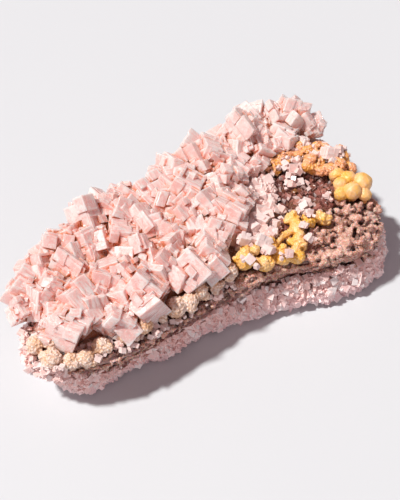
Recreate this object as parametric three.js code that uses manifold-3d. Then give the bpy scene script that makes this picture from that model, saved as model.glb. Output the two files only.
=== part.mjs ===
// Pink halite cluster: a slab of bedded salt crust, 24 cm long, with cubic halite crystals on
// its top, rounded yellow salt lumps along its front and right end, a mauve druse in the hollow
// between them, and a pale druse of small crystals underneath, on whose cut faces it rests.
// Millimetres. +X runs along the slab, +Y to its back, +Z up, and z = 0 is the resting plane.
import * as THREE from "three";
import { mergeVertices } from "three/addons/utils/BufferGeometryUtils.js";
import Module from "manifold-3d";

const wasm = await Module();
wasm.setup();

// Driving dimensions
const CRUST_TOP = 34; // mean height of the slab's upper surface
const CRUST_BASE = 9; // height of its lower surface
const AROUND = 28; // points round each contour of the slab
const GAP = 0.3; // clearance kept between touching growths
const RAGGED = 1.8; // how far the ledges wander in and out

// The slab's edge in plan, anticlockwise from its left end
const SLAB_EDGE = [
  [-117, -8], [-112, -28], [-90, -40], [-58, -42], [-28, -41], [2, -41], [26, -44], [52, -54],
  [80, -59], [99, -50], [109, -30], [115, -6], [116, 20], [107, 41], [82, 48], [48, 48],
  [10, 46], [-28, 42], [-64, 34], [-98, 20],
];

// The slab's side from its foot to its rim: [share of the thickness, how far inside the edge]
const FOOT = [[0.0, 17], [0.2, 15.5]];
const LEDGES = [
  [0.25, 5.5], [0.38, 4.5], [0.42, 7.5], [0.52, 3.5], [0.66, 2.5], [0.7, 5.5], [0.8, 0.5], [1.0, 1],
];
const BATTER = 5.5; // how far the foot of the side falls back when its notches are closed
const CAP_RINGS = [0.8, 0.45]; // contours of the top and base, as shares of the outermost
const CAP_INSET = 13;

// The bed of massive halite that carries the pink crystals: its upper rim, foot and height
const PINK_EDGE = [
  [-108, -1], [-101, -16], [-85, -20], [-60, -21], [-37, -24], [-14, -20], [7, -9], [21, 1],
  [30, 16], [47, 29], [78, 34], [102, 34], [103, 39], [84, 41], [48, 40], [10, 38], [-28, 34],
  [-62, 26], [-93, 14],
];
const PINK_FOOT = 31;
const PINK_BED = 8;

// Leading pink crystals: x, y, z of the centre, edge, then yaw, tilt and roll in degrees
const LEADING_CRYSTALS = [
  [-115, 5, 41, 14, 10, 25, 20], [-103, 18, 43, 14, 40, 30, 10], [-90, 27, 45, 14, 15, 40, 30],
  [-76, 33, 46, 14, 70, 20, 45], [-66, 35, 48, 11, 30, 50, 25], [-50, 38, 48, 17, 5, 42, 20],
  [-37, 38, 48, 15, 35, 20, 10], [-24, 42, 48, 13, 60, 40, 40], [-12, 38, 48, 13, 10, 15, 12],
  [1, 42, 48, 11, 45, 35, 35], [13, 44, 48, 13, 80, 30, 20], [27, 47, 50, 19, 28, 38, 30],
  [39, 40, 48, 16, 62, 25, 15], [50, 46, 46, 12, 20, 45, 30], [64, 49, 50, 19, 35, 35, 32],
  [62, 38, 47, 14, 5, 28, 45], [79, 49, 48, 13, 50, 40, 15], [92, 49, 48, 12, 15, 30, 40],
  [104, 43, 48, 15, 70, 22, 35], [88, 35, 45, 13, 33, 12, 30], [74, 34, 44, 12, 55, 45, 10],
  [109, 32, 44, 11, 25, 40, 20], [-97, -13, 44, 17, 38, 12, 22], [-85, -8, 45, 16, 20, 35, 10],
  [-108, -8, 41, 12, 65, 30, 35], [-92, 6, 46, 15, 75, 38, 25], [-78, 16, 46, 15, 48, 25, 40],
  [-60, 24, 46, 14, 15, 45, 15], [-66, -4, 46, 14, 58, 20, 30], [-56, -6, 46, 16, 32, 40, 28],
  [-72, -26, 42, 13, 50, 32, 18], [-53, -21, 45, 18, 36, 30, 36], [-40, 2, 46, 14, 12, 35, 42],
  [-42, 17, 46, 14, 66, 22, 20], [-31, -12, 46, 14, 40, 42, 12], [-26, 22, 47, 14, 22, 30, 35],
  [-21, -24, 45, 15, 30, 25, 40], [-8, -20, 45, 14, 64, 40, 22], [-17, 3, 46, 14, 50, 15, 30],
  [-4, 10, 47, 15, 18, 35, 20], [-8, 26, 47, 14, 72, 28, 42], [8, 28, 48, 16, 38, 20, 14],
  [12, 8, 47, 15, 30, 32, 28], [6, -9, 46, 13, 56, 24, 40], [20, -2, 45, 16, 34, 14, 24],
  [24, 17, 47, 15, 12, 38, 36], [35, 22, 46, 13, 68, 30, 16], [33, 6, 44, 12, 44, 42, 30],
  [48, 25, 44, 12, 26, 20, 34], [60, 26, 42, 11, 52, 36, 20],
];

// Smaller pink crystals fill the gaps on a jittered grid of this pitch
const FILL_PITCH = 21;
const FILL_EDGE = 8.5;

// Groups of rounded lumps: name, then x, y, z and radius of each lump
const LUMP_GROUPS = {
  yellow_lumps_left: [
    [-115, -13, 38, 7], [-108, -17, 39, 5.5], [-112, -25, 37, 7.5], [-104, -31, 36, 6],
    [-97, -34, 36, 6.5], [-87, -33, 37, 7],
  ],
  yellow_lumps_front: [
    [-72, -35, 37, 7], [-61, -34, 38, 7.5], [-50, -32, 38, 7], [-41, -35, 38, 8],
    [-32, -36, 38, 6.5], [-24, -33, 39, 7], [-14, -34, 37, 6], [-3, -32, 39, 7.5],
  ],
  yellow_lumps_middle: [
    [9, -31, 40, 7.5], [17, -27, 41, 7], [19, -38, 38, 7], [30, -40, 38, 7], [27, -32, 40, 6],
    [37, -44, 37, 6], [44, -38, 39, 6.5], [49, -30, 40, 6], [51, -22, 40, 5.5],
    [59, -29, 40, 5.5], [67, -32, 39, 5.5],
  ],
  yellow_lumps_back: [
    [70, 20, 38, 7], [80, 22, 40, 7], [91, 18, 41, 7.5], [101, 12, 41, 7], [108, 2, 41, 7],
    [91, 5, 40, 8], [99, -5, 41, 7.5], [109, -9, 41, 6.5], [99, -17, 41, 7.5],
    [108, -21, 41, 7.5], [94, -26, 40, 6.5],
  ],
};

// The mauve druse lies in this oval of the hollow: x, y, half length, half width
const MAUVE_BED = [63, -6, 29, 18];
const MAUVE_THICKNESS = 6;
const MAUVE_CRYSTALS = 12;

// Rough blocks of porous crust at the slab's right end
const ROUGH_BLOCKS = 20;
const ROUGH_EDGE = 10;

// How far the foot of the druse underneath lies inside the slab's edge: [share of the way round,
// depth]. It swells outwards along the front right.
const FOOT_LEAN = [
  [0, 12], [0.14, 11], [0.2, 7], [0.25, -3], [0.3, -8], [0.5, -5], [0.57, 8], [1, 12],
];

// The underside: its bed's outer face from below to the rim [how far inside the edge, height]
// and the dish that holds the slab's foot, then the fringe of crystals round it, the grid of
// crystals under it and the one whose cut face is the largest
const UNDER_BED = [[18, 3], [5, 4], [0, 9.5], [3, 12.6]];
const UNDER_DISH = [[15, 12.6], [16.4, 8.6]];
const FRINGE_CRYSTALS = 32;
const FRINGE_EDGE = 8.5;
const UNDER_PITCH = 38;
const UNDER_SHARE = 0.8; // the crystals under the bed keep inside this share of the slab's edge
const REST_CRYSTAL = [-1.5, -5, 6, 18, 20, 8, 6];

// A repeatable scatter from 0 to 1
function scatter(n) {
  const s = Math.sin(n * 12.9898 + 4.1414) * 43758.5453;
  return s - Math.floor(s);
}

// Height of the slab's upper surface, which dips at the mauve hollow
function crustTop(x, y) {
  const swell = 1.2 * Math.sin(x / 23) + 1.0 * Math.cos(y / 14 + x / 40);
  const hollow = 4 * Math.exp(-(((x - 63) / 30) ** 2) - ((y + 6) / 18) ** 2);
  return CRUST_TOP + swell - hollow;
}

// How far inwards the druse underneath falls back at height z, at share u of the way round
function undercut(u, z) {
  const next = FOOT_LEAN.findIndex(([share]) => share > u);
  const [from, depth] = FOOT_LEAN[next - 1];
  const [to, nextDepth] = FOOT_LEAN[next];
  return THREE.MathUtils.mapLinear(u, from, to, depth, nextDepth) * (1 - z / CRUST_TOP);
}

const edgeCurve = new THREE.CatmullRomCurve3(
  SLAB_EDGE.map(([x, y]) => new THREE.Vector3(x, y, 0)),
  true,
);

// The point of the slab's edge at share u of the way round, moved inwards by inset
function edgePoint(u, inset) {
  const p = edgeCurve.getPoint(u);
  const t = edgeCurve.getTangent(u);
  return [p.x - t.y * inset, p.y + t.x * inset];
}

// One contour of the cluster's side, with its height at each point
function contour(inset, share, height) {
  return Array.from({ length: AROUND }, (_, k) => {
    const [x, y] = edgePoint(k / AROUND, inset(k)).map((v) => v * share);
    return [x, y, height(x, y)];
  });
}

// A closed geometry from rings of equal length, each a list of points, with a point at each end
function loft(rings, foot, tip) {
  const points = [foot, ...rings.flat(), tip];
  const n = rings[0].length;
  const faces = [];
  const at = (ring, k) => 1 + ring * n + (k % n);
  for (let k = 0; k < n; k++) {
    faces.push(0, at(0, k + 1), at(0, k));
    for (let r = 0; r + 1 < rings.length; r++) {
      faces.push(at(r, k), at(r, k + 1), at(r + 1, k + 1));
      faces.push(at(r, k), at(r + 1, k + 1), at(r + 1, k));
    }
    faces.push(at(rings.length - 1, k), at(rings.length - 1, k + 1), points.length - 1);
  }
  const geometry = new THREE.BufferGeometry();
  geometry.setAttribute("position", new THREE.Float32BufferAttribute(points.flat(), 3));
  geometry.setIndex(faces);
  return geometry;
}

// A manifold-3d solid from a closed three.js geometry
function solid(geometry) {
  const bare = geometry.clone();
  bare.deleteAttribute("normal");
  bare.deleteAttribute("uv");
  const merged = mergeVertices(bare, 1e-4);
  return new wasm.Manifold(
    new wasm.Mesh({
      numProp: 3,
      vertProperties: merged.attributes.position.array,
      triVerts: new Uint32Array(merged.index.array),
    }),
  );
}

function joined(solids) {
  return wasm.Manifold.union(solids);
}

// The largest of a solid's separate bodies
function mainBody(shape) {
  return shape.decompose().reduce((a, b) => (a.volume() > b.volume() ? a : b));
}

// The bedded slab. With grow above 0 it is the room that the slab and its clearance take, and
// the notches between its ledges are closed.
function slab(grow) {
  const base = CRUST_BASE - grow;
  const height = (rise) => (x, y) => base + rise * (crustTop(x, y) + grow - base);
  const cap = (share, rise) => contour(() => CAP_INSET - grow, share, height(rise));
  const low = CAP_RINGS.map((share) => cap(share, 0)).reverse();
  const foot = FOOT.map(([rise, inset]) => contour(() => inset - grow, 1, height(rise)));
  const side = LEDGES.map(([rise, inset], level) => {
    const depth = grow > 0 ? Math.min(inset, 1 + BATTER * (1 - rise)) : inset;
    const wander = (k) => depth - grow + RAGGED * (scatter(level * 97 + k) - 0.5);
    return contour(wander, 1, height(rise));
  });
  const high = CAP_RINGS.map((share) => cap(share, 1));
  const rings = [...low, ...foot, ...side, ...high];
  return solid(loft(rings, [0, 0, base], [0, 0, crustTop(0, 0) + grow]));
}

// A crystal: a block turned by yaw, tilt and roll in degrees about its centre
function crystal([x, y, z, edge, yaw, tilt, roll], grow = 0) {
  const size = edge + 2 * grow;
  const stretch = 0.85 + 0.3 * scatter(x * 3 + y);
  const block = new THREE.BoxGeometry(size, edge * stretch + 2 * grow, size);
  block.rotateX(THREE.MathUtils.degToRad(tilt));
  block.rotateY(THREE.MathUtils.degToRad(roll));
  block.rotateZ(THREE.MathUtils.degToRad(yaw));
  block.translate(x, y, z);
  return solid(block);
}

// A rounded lump, slightly flattened
function lump([x, y, z, radius], grow = 0) {
  const ball = new THREE.SphereGeometry(radius + grow, 6, 4);
  ball.scale(1, 1, 0.92);
  ball.rotateX(scatter(x + 3 * y) * 3);
  ball.rotateZ(scatter(x + 7 * y) * 3);
  ball.translate(x, y, z);
  return solid(ball);
}

// A level bed with a bevelled edge, from its upper rim, foot and height
function bed(outline, foot, height, grow) {
  const shape = new THREE.Shape(outline.map(([x, y]) => new THREE.Vector2(x, y)));
  const bevel = height * 0.6;
  const plate = new THREE.ExtrudeGeometry(shape, {
    depth: height - bevel + grow,
    bevelThickness: bevel,
    bevelSize: bevel,
    bevelOffset: grow,
    bevelSegments: 1,
  });
  plate.translate(0, 0, foot);
  return solid(plate);
}

function isInside(outline, x, y) {
  let inside = false;
  outline.forEach(([ax, ay], i) => {
    const [bx, by] = outline[(i + 1) % outline.length];
    if (ay > y !== by > y && x < ax + ((y - ay) * (bx - ax)) / (by - ay)) inside = !inside;
  });
  return inside;
}

// The smaller crystals that fill between the leading ones
function fillCrystals() {
  const found = [];
  let n = 0;
  for (let y = -40; y < 50; y += FILL_PITCH) {
    for (let x = -118; x < 114; x += FILL_PITCH) {
      n += 1;
      const cx = x + FILL_PITCH * (scatter(n) - 0.5) + (n % 2) * 3;
      const cy = y + FILL_PITCH * (scatter(n + 500) - 0.5);
      const near = LEADING_CRYSTALS.some(([a, b, , e]) => Math.hypot(a - cx, b - cy) < 0.42 * e);
      if (near || !isInside(PINK_EDGE, cx, cy)) continue;
      const edge = FILL_EDGE * (0.75 + 0.6 * scatter(n + 900));
      const turn = [90 * scatter(n + 21), 50 * scatter(n + 33), 50 * scatter(n + 47)];
      found.push([cx, cy, crustTop(cx, cy) + 7 + 3 * scatter(n + 61), edge, ...turn]);
    }
  }
  return found;
}

function pinkCrystals(grow = 0) {
  const crystals = [...LEADING_CRYSTALS, ...fillCrystals()].map((c) => crystal(c, grow));
  return joined([bed(PINK_EDGE, PINK_FOOT, PINK_BED, grow), ...crystals]);
}

function lumpGroup(name, grow = 0) {
  return joined(LUMP_GROUPS[name].map((l) => lump(l, grow)));
}

function mauveDruse() {
  const [x, y, halfLength, halfWidth] = MAUVE_BED;
  const oval = new THREE.EllipseCurve(x, y, halfLength, halfWidth).getPoints(16).slice(0, -1);
  const crystals = Array.from({ length: MAUVE_CRYSTALS }, (_, k) => {
    const reach = 0.9 * Math.sqrt(scatter(k + 301));
    const turn = k * 2.4;
    const cx = x + halfLength * reach * Math.cos(turn);
    const cy = y + halfWidth * reach * Math.sin(turn);
    const edge = 4.5 + 3.5 * scatter(k + 340);
    return crystal([cx, cy, crustTop(cx, cy) + 3.5, edge, 90 * scatter(k + 360), 38, 25]);
  });
  const outline = oval.map((p) => [p.x, p.y]);
  return joined([bed(outline, CRUST_TOP - 5, MAUVE_THICKNESS, 0), ...crystals]);
}

// Blocks of porous crust along the slab's right end and front right rim
function roughBlocks(grow = 0) {
  return Array.from({ length: ROUGH_BLOCKS }, (_, k) => {
    const u = 0.34 + (0.22 * (k + scatter(k + 401))) / ROUGH_BLOCKS;
    const level = (k * 0.618) % 1;
    const [x, y] = edgePoint(u, 4 + 22 * scatter(k + 460) * level);
    const z = 20 + level * (crustTop(x, y) - 19);
    const edge = ROUGH_EDGE * (0.75 + 0.5 * scatter(k + 490));
    return crystal([x, y, z, edge, 90 * scatter(k + 520), 40 * scatter(k + 550), 20], grow);
  });
}

// The underside's druse: a dish that holds the slab's foot, a fringe of crystals round it, and
// crystals below it that end on the resting plane
function undersideDruse(room) {
  const crystals = [crystal(REST_CRYSTAL)];
  for (let k = 0; k < FRINGE_CRYSTALS; k++) {
    const u = (k + 0.6 * scatter(k + 601)) / FRINGE_CRYSTALS;
    const z = 6 + 2.5 * scatter(k + 670);
    const [x, y] = edgePoint(u, 1 + undercut(u, z));
    const edge = FRINGE_EDGE * (0.85 + 0.4 * scatter(k + 640));
    crystals.push(crystal([x, y, z, edge, 90 * scatter(k + 700), 42, 38 * scatter(k + 730)]));
  }
  let n = 800;
  for (let y = -40; y < 50; y += UNDER_PITCH) {
    for (let x = -100; x < 104; x += UNDER_PITCH) {
      n += 1;
      const cx = x + 8 * (scatter(n) - 0.5);
      const cy = y + 8 * (scatter(n + 100) - 0.5);
      if (!isInside(SLAB_EDGE, cx / UNDER_SHARE, cy / UNDER_SHARE)) continue;
      crystals.push(crystal([cx, cy, 3.5, 9 + 5 * scatter(n + 200), 90 * scatter(n + 300), 30, 20]));
    }
  }
  const above = new THREE.BoxGeometry(400, 300, 60);
  above.translate(0, 0, 30);
  const rings = [
    ...UNDER_BED.map(([inset, z]) => contour((k) => inset + undercut(k / AROUND, z), 1, () => z)),
    ...UNDER_DISH.map(([inset, z]) => contour(() => inset, 1, () => z)),
  ];
  const dish = loft(rings, [0, 0, UNDER_BED.at(0)[1]], [0, 0, UNDER_DISH.at(-1)[1]]);
  return joined([solid(dish), ...crystals]).intersect(solid(above)).subtract(room);
}

// Materials
const finish = (color, roughness) => new THREE.MeshStandardMaterial({ color, roughness, metalness: 0 });
const PINK = finish(0xedc4bd, 0.3);
const YELLOW = finish(0xe3b56c, 0.55);
const MAUVE = finish(0xa9807a, 0.35);
const CRUST = finish(0xa8918c, 0.8);
const PALE = finish(0xe2c9c8, 0.4);

const cluster = new THREE.Group();

// Adds the largest body of a solid to the cluster as a named mesh
function place(name, shape, material) {
  const made = mainBody(shape).getMesh();
  const geometry = new THREE.BufferGeometry();
  geometry.setAttribute("position", new THREE.BufferAttribute(made.vertProperties, 3));
  geometry.setIndex(new THREE.BufferAttribute(made.triVerts, 1));
  const mesh = new THREE.Mesh(geometry, material);
  mesh.name = name;
  cluster.add(mesh);
}

// Each growth gives way to those that grew before it
let taken = joined([slab(GAP), ...roughBlocks(GAP)]);
place("layered_crust", joined([slab(0), ...roughBlocks()]), CRUST);
place("pink_crystals", pinkCrystals().subtract(taken), PINK);
taken = taken.add(pinkCrystals(GAP));
for (const name of Object.keys(LUMP_GROUPS)) {
  place(name, lumpGroup(name).subtract(taken), YELLOW);
  taken = taken.add(lumpGroup(name, GAP));
}
place("mauve_druse", mauveDruse().subtract(taken), MAUVE);
place("underside_druse", undersideDruse(taken), PALE);

// The origin is under the middle of the cluster
const box = new THREE.Box3().setFromObject(cluster);
cluster.position.set(-(box.min.x + box.max.x) / 2, -(box.min.y + box.max.y) / 2, -box.min.z);

export default cluster;
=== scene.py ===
import math
import random

import bmesh
import bpy
import numpy as np
from mathutils import Euler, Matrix, Quaternion, Vector, noise


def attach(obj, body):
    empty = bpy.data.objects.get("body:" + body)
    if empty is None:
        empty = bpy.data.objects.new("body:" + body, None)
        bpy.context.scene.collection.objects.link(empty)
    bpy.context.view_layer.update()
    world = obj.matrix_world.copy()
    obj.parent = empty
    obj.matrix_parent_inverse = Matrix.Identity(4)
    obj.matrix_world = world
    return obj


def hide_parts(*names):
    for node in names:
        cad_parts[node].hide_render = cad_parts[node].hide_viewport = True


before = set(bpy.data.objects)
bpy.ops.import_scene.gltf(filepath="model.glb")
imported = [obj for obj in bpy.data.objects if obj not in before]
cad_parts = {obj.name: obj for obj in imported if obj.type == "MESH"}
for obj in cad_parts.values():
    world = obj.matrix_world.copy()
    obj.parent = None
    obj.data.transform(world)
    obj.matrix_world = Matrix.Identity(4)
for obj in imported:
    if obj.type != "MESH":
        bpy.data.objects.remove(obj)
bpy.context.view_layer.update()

# Lengths are in millimetres in the cluster's own plan, and build_mesh turns them into metres.
# PLAN_SHIFT carries the plan's origin to the frame's origin, under the middle of the cluster.
MM = 0.001
PLAN_SHIFT = (2.8643, 3.3258, 0.0)

# The slab of salt crust
CRUST_TOP = 34
CRUST_BASE = 9
SLAB_EDGE = [
    (-117, -8), (-112, -28), (-90, -40), (-58, -42), (-28, -41), (2, -41), (26, -44), (52, -54),
    (80, -59), (99, -50), (109, -30), (115, -6), (116, 20), (107, 41), (82, 48), (48, 48),
    (10, 46), (-28, 42), (-64, 34), (-98, 20),
]
# Its side from foot to rim: share of the thickness, how far inside the edge
SIDE = [
    (0.0, 17), (0.2, 15.5), (0.25, 5.5), (0.38, 4.5), (0.42, 7.5), (0.52, 3.5), (0.66, 2.5), (0.7, 5.5),
    (0.8, 0.5), (1.0, 1),
]
CRUST_AROUND = 660
CRUST_LEVELS = 70
CRUST_CAP_RINGS = 10
CRUST_CAP_INSET = 3
LAYERS = 17

# The bed of massive halite under the pink crystals
PINK_EDGE = [
    (-108, -1), (-101, -16), (-85, -20), (-60, -21), (-37, -24), (-14, -20), (7, -9), (21, 1),
    (30, 16), (47, 29), (78, 34), (102, 34), (103, 39), (84, 41), (48, 40), (10, 38), (-28, 34),
    (-62, 26), (-93, 14),
]
PINK_FOOT = 31
PINK_BED = 8

# Leading pink crystals: x, y, z of the centre, edge, then yaw, tilt and roll in degrees
LEADING_CRYSTALS = [
    (-111, 9, 42, 11, 10, 25, 20), (-103, 18, 43, 14, 40, 30, 10), (-90, 27, 45, 14, 15, 40, 30),
    (-76, 33, 46, 14, 70, 20, 45), (-66, 35, 48, 11, 30, 50, 25), (-50, 38, 48, 17, 5, 42, 20),
    (-37, 38, 48, 15, 35, 20, 10), (-24, 42, 48, 13, 60, 40, 40), (-12, 38, 48, 13, 10, 15, 12),
    (1, 42, 48, 11, 45, 35, 35), (13, 44, 48, 13, 80, 30, 20), (27, 45, 48, 16, 28, 38, 30),
    (39, 40, 48, 16, 62, 25, 15), (50, 46, 46, 12, 20, 45, 30), (64, 49, 50, 19, 35, 35, 32),
    (62, 38, 47, 14, 5, 28, 45), (79, 49, 48, 13, 50, 40, 15), (92, 49, 48, 12, 15, 30, 40),
    (104, 43, 48, 15, 70, 22, 35), (88, 35, 45, 13, 33, 12, 30), (74, 34, 44, 12, 55, 45, 10),
    (109, 32, 44, 11, 25, 40, 20), (-98, -17, 44, 16, 38, 12, 22), (-85, -8, 45, 16, 20, 35, 10),
    (-105, -7, 42, 7, 65, 30, 35), (-92, 6, 46, 15, 75, 38, 25), (-78, 16, 46, 15, 48, 25, 40),
    (-60, 24, 46, 14, 15, 45, 15), (-66, -4, 46, 14, 58, 20, 30), (-56, -6, 46, 16, 32, 40, 28),
    (-72, -26, 42, 13, 50, 32, 18), (-53, -21, 45, 18, 36, 30, 36), (-40, 2, 46, 14, 12, 35, 42),
    (-42, 17, 46, 14, 66, 22, 20), (-31, -12, 46, 14, 40, 42, 12), (-26, 22, 47, 14, 22, 30, 35),
    (-21, -24, 45, 15, 30, 25, 40), (-8, -20, 45, 14, 64, 40, 22), (-17, 3, 46, 14, 50, 15, 30),
    (-4, 10, 47, 15, 18, 35, 20), (-8, 26, 47, 14, 72, 28, 42), (8, 28, 48, 16, 38, 20, 14),
    (12, 8, 47, 15, 30, 32, 28), (6, -9, 46, 13, 56, 24, 40), (20, -2, 45, 16, 34, 14, 24),
    (24, 17, 47, 15, 12, 38, 36), (35, 22, 46, 13, 68, 30, 16), (33, 6, 44, 12, 44, 42, 30),
    (48, 25, 44, 12, 26, 20, 34), (60, 26, 42, 11, 52, 36, 20),
]
FILL_PITCH = 21
FILL_EDGE = 8.5
# Medium and small crystals between the others: pitch of their grid, edges and height above the slab
MEDIUM_GROWTH = (10.5, (7.0, 11.5), (6.0, 10.5))
SMALL_GROWTH = (5.0, (3.0, 6.5), (5.5, 10.5))
# The area of that grid: x and y of its corner, length and width
GROWTH_AREA = (-118, -44, 236, 96)
LEADER_SCALE = 1.13
PINK_CRUMBS = 500
# How far a crystal's axes lean out of square
SKEW = 0.12

# Rounded lumps of yellow salt: x, y, z and radius of each lump
LUMPS_LEFT = [
    (-115, -13, 38, 7), (-108, -17, 39, 5.5), (-112, -25, 37, 7.5), (-104, -31, 36, 6),
    (-97, -34, 36, 6.5), (-87, -33, 37, 7),
]
LUMPS_FRONT = [
    (-72, -35, 37, 7), (-61, -34, 38, 7.5), (-50, -32, 38, 7), (-41, -35, 38, 8),
    (-32, -36, 38, 6.5), (-24, -33, 39, 7), (-14, -34, 37, 6), (-3, -32, 39, 7.5),
]
LUMPS_MIDDLE = [
    (9, -31, 40, 7.5), (17, -27, 41, 7), (19, -38, 38, 7), (30, -40, 38, 7), (27, -32, 40, 6),
    (37, -44, 37, 6), (44, -38, 39, 6.5), (49, -30, 40, 6), (51, -22, 40, 5.5),
    (59, -29, 40, 5.5), (67, -32, 39, 5.5),
]
LUMPS_BACK = [
    (70, 20, 38, 7), (80, 22, 40, 7), (91, 18, 41, 7.5), (101, 12, 41, 7), (108, 2, 41, 7),
    (91, 5, 40, 8), (99, -5, 41, 7.5), (109, -9, 41, 6.5), (99, -17, 41, 7.5),
    (108, -21, 41, 7.5), (94, -26, 40, 6.5),
]
SMOOTH_BALLS = [
    (99, -18, 43, 5.4), (104, -25, 43, 6.3), (94, -27, 43, 5.6), (92, -19, 43, 4.8), (96, -11, 42.5, 5),
    (100, -32, 40.5, 4.4), (88, -24, 41.5, 4.4),
]
BRANCH_STEPS = 9
GOLDEN_ANGLE = 2.39996

# Skins round rounded growths: voxel, depth of their swells and of their grains, size of the grains
CREAM_SKIN = (0.46, 0.25, 0.36, 1.35)
RIDGE_SKIN = (0.5, 0.4, 0.3, 1.3)
BACK_SKIN = (0.5, 0.3, 0.32, 1.35)
GRANULE_SKIN = (0.65, 0.35, 0.25, 1.1)
CRUMB_SKIN = (0.68, 0.3, 0.22, 1.0)

# The hollow's middle, and the half length and half width of the mauve druse in it
HOLLOW_X = 63
HOLLOW_Y = -6
MAUVE_HALF = (29, 18)
MAUVE_CRYSTALS = 960

# Small clear cubes that stand on the hollow and on the lumps: x, y, z and edge
CLEAR_CUBES = [
    (52, 15, 39, 6.5), (45, 11, 40, 7), (41, 4, 40, 6), (47, 5, 38, 5), (78, 10, 40, 7),
    (75, 15, 42, 5), (84, 13, 43, 4), (65, -17, 38, 5), (60, -19, 38, 4), (69, -14, 37, 4.5),
    (52, -11, 38, 5.5), (47, -8, 40, 5), (34, -15, 43, 7), (26, -17, 44, 6), (32, -26, 44, 6),
    (23, -29, 45, 6.5), (48, -42, 44, 4.5), (51, -33, 45, 4), (107, 1, 48, 5),
    (101, 3, 47, 7), (95, 21, 47, 5), (31, -44, 44, 4.5), (23, -36, 45, 5), (15, -23, 47, 6),
    (40, -20, 41, 5), (72, 3, 37, 5), (77, 1, 37, 4), (58, 6, 37, 5), (55, 0, 37, 4),
    (83, -18, 38, 4), (9, -36, 46, 4.5), (60, -27, 45, 3.5), (43, -3, 39, 4.5),
]
CARPET_CUBES = 150

# Rough blocks of porous crust at the right end, grown over with granules
ROUGH_BLOCKS = 20
ROUGH_EDGE = 10
BLOCK_STALKS = 15
SIDE_STALKS = 230
TOP_STALKS = 430
RIM_CRUMBS = 1500
SIDE_CRUMBS = 2300

# The druse underneath: how far inside the slab's edge its foot lies at each share of the way
# round, its bed's outer face, and the fringe of crystals round it
FOOT_LEAN = [
    (0, 12), (0.05, 8), (0.08, 3), (0.105, 7), (0.125, 10), (0.14, 9), (0.155, 4), (0.18, 3), (0.2, 3.5),
    (0.225, -0.5), (0.25, -4), (0.3, -8), (0.5, -5), (0.57, 8), (1, 12),
]
UNDER_BED = [(18, 3), (5, 4), (0, 9.5), (3, 12.6)]
UNDER_DISH = (15, 12.6)
FRINGE_CRYSTALS = 32
FRINGE_EDGE = 8.5
REST_CRYSTAL = (-1.5, -5, 6, 18, 20, 8, 6)
SOLE_CRYSTALS = 220
# Its teeth: their numbers, and how far inside the edge they stand at each height
LOW_TEETH = 2300
HIGH_TEETH = 2100
TEETH_INSET = [
    (0, 4.4), (4, 1.8), (9, 0.4), (12.6, 1.0), (15, 1.4), (19, 2.2), (22, 2.6), (28, 1.2), (34, 1.4),
]

# The photograph's view: angles in degrees, lengths in millimetres
VIEW_AZIMUTH = -35
VIEW_ELEVATION = 50
VIEW_LENS = 60
VIEW_DISTANCE = 500
VIEW_SENSOR = 36
VIEW_AIM = (0, 0, 25)

# Lights: strength, width in degrees, colour, and the direction in which they fall
LIGHTS = {
    "key": (4.0, 5, (1.0, 0.97, 0.93), (50, -34, -100)),
    "fill": (0.4, 70, (1.0, 0.84, 0.84), (50, 75, -60)),
}
ROOM_COLOUR = (1.0, 0.74, 0.8, 1)
ROOM_STRENGTH = 0.2
FLOOR_HALF = 3000
FLOOR_DROP = 0.05

# Materials
HALITE_IOR = 1.544
CRUST_IOR = 1.5
# Yellow salts: their outer and inner colours, the colour of their painted shade in gaps, and how grainy they
# are
YELLOW_SALTS = {
    "cream_salt": ((0.98, 0.74, 0.63), (0.9, 0.53, 0.29), (0.15, 0.04, 0.02), 0.8),
    "orange_salt": ((0.92, 0.4, 0.2), (0.93, 0.43, 0.045), (0.15, 0.035, 0.01), 0.5),
    "golden_salt": ((0.93, 0.56, 0.2), (0.93, 0.48, 0.03), (0.26, 0.065, 0.01), 0.35),
    "smooth_salt": ((0.94, 0.56, 0.24), (0.93, 0.5, 0.06), (0.28, 0.08, 0.02), 0.3),
}

# Half the side of the block that keeps what is above the floor
ROOM_HALF = 200

# The Mix node's sockets for colours, by number, because others have the same names
MIX_A = 6
MIX_B = 7
MIX_RESULT = 2


# Chance, edges and noise

def scatter(n):
    """A repeatable scatter from 0 to 1"""
    s = math.sin(n * 12.9898 + 4.1414) * 43758.5453
    return s - math.floor(s)


def draws(rng, low, high):
    """Three random numbers between two limits"""
    return np.array([rng.uniform(low, high) for _ in range(3)])


def any_signs(rng):
    """Three random signs"""
    return np.array([rng.choice((-1, 1)) for _ in range(3)])


def any_way(rng):
    """A random direction, of any length"""
    return np.array([rng.gauss(0, 1) for _ in range(3)])


def upward(rng, lowest):
    """A random direction, mostly up: lowest is the limit of its height"""
    return Vector((rng.uniform(-1, 1), rng.uniform(-1, 1), rng.uniform(lowest, 1))).normalized()


def crust_top(x, y):
    """Height of the slab's upper surface, which dips at the mauve hollow"""
    swell = 1.2 * np.sin(x / 23) + np.cos(y / 14 + x / 40)
    hollow = 4 * np.exp(-(((x - HOLLOW_X) / 30) ** 2) - ((y - HOLLOW_Y) / 18) ** 2)
    return CRUST_TOP + swell - hollow


def is_inside(outline, x, y):
    """Whether a point lies inside a closed outline"""
    inside = False
    for (ax, ay), (bx, by) in zip(outline, outline[1:] + outline[:1]):
        if (ay > y) != (by > y) and x < ax + (y - ay) * (bx - ax) / (by - ay):
            inside = not inside
    return inside


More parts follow.
